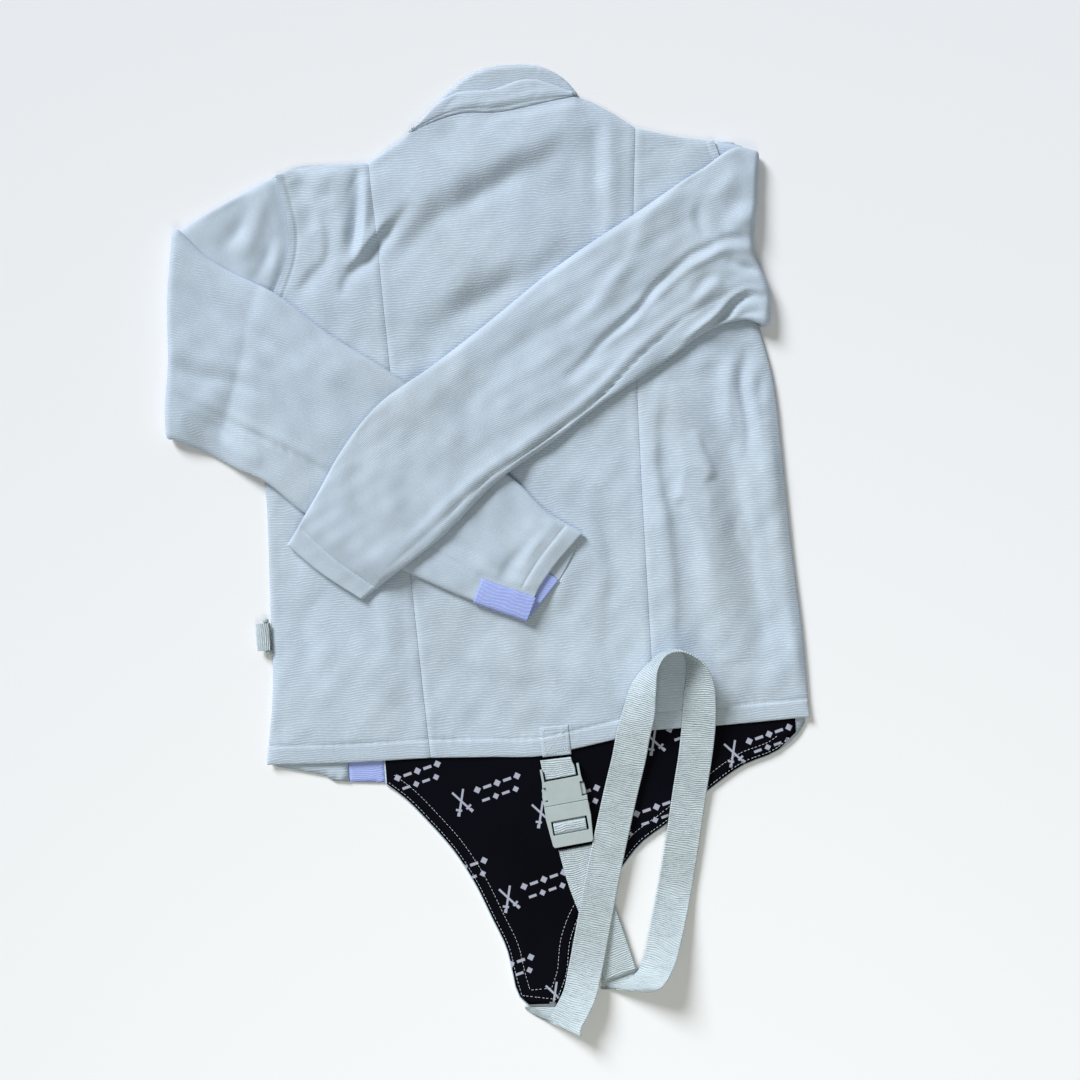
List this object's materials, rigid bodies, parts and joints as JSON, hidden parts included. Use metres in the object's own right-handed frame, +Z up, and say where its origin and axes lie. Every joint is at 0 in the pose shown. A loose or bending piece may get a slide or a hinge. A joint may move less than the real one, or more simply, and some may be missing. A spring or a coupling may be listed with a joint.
{
  "type": "fencing jacket",
  "caption": "White fencing jacket laid flat, back up, its sleeves folded across the back, with a dark lined crotch flap and a buckled crotch strap.",
  "frame": {"origin": "middle of the jacket's outline, on the surface that it lies on", "axes": "+Z up from that surface; +Y along the centre back from the hem to the collar; +X to the wearer's right, on the right of someone looking down on the back"},
  "size_m": [0.5615, 0.8764, 0.0393],
  "materials": {
    "canvas": "white stretch canvas with fine cross ribs",
    "elastic": "lilac knitted elastic",
    "lining": "near-black smooth lining with a small white print",
    "webbing": "off-white polyamide webbing, ribbed",
    "plastic": "off-white moulded acetal, satin",
    "zip": "white zip tape, closed"
  },
  "bodies": {
    "root": {"back_left": "canvas", "back_centre": "canvas", "back_right": "canvas", "front_main": "canvas", "front_left": "canvas", "collar_back": "canvas", "collar_front": "canvas", "sleeve_left": "canvas", "sleeve_right": "canvas", "hem_tab": "canvas", "front_elastic": "elastic", "cuff_elastic": "elastic", "flap_lining": "lining", "tab_webbing": "webbing", "crotch_strap": "webbing", "strap_tail": "webbing", "side_webbing": "webbing", "buckle_female": "plastic", "buckle_male": "plastic", "side_bar": "plastic", "front_zip": "zip"}
  },
  "joints": []
}
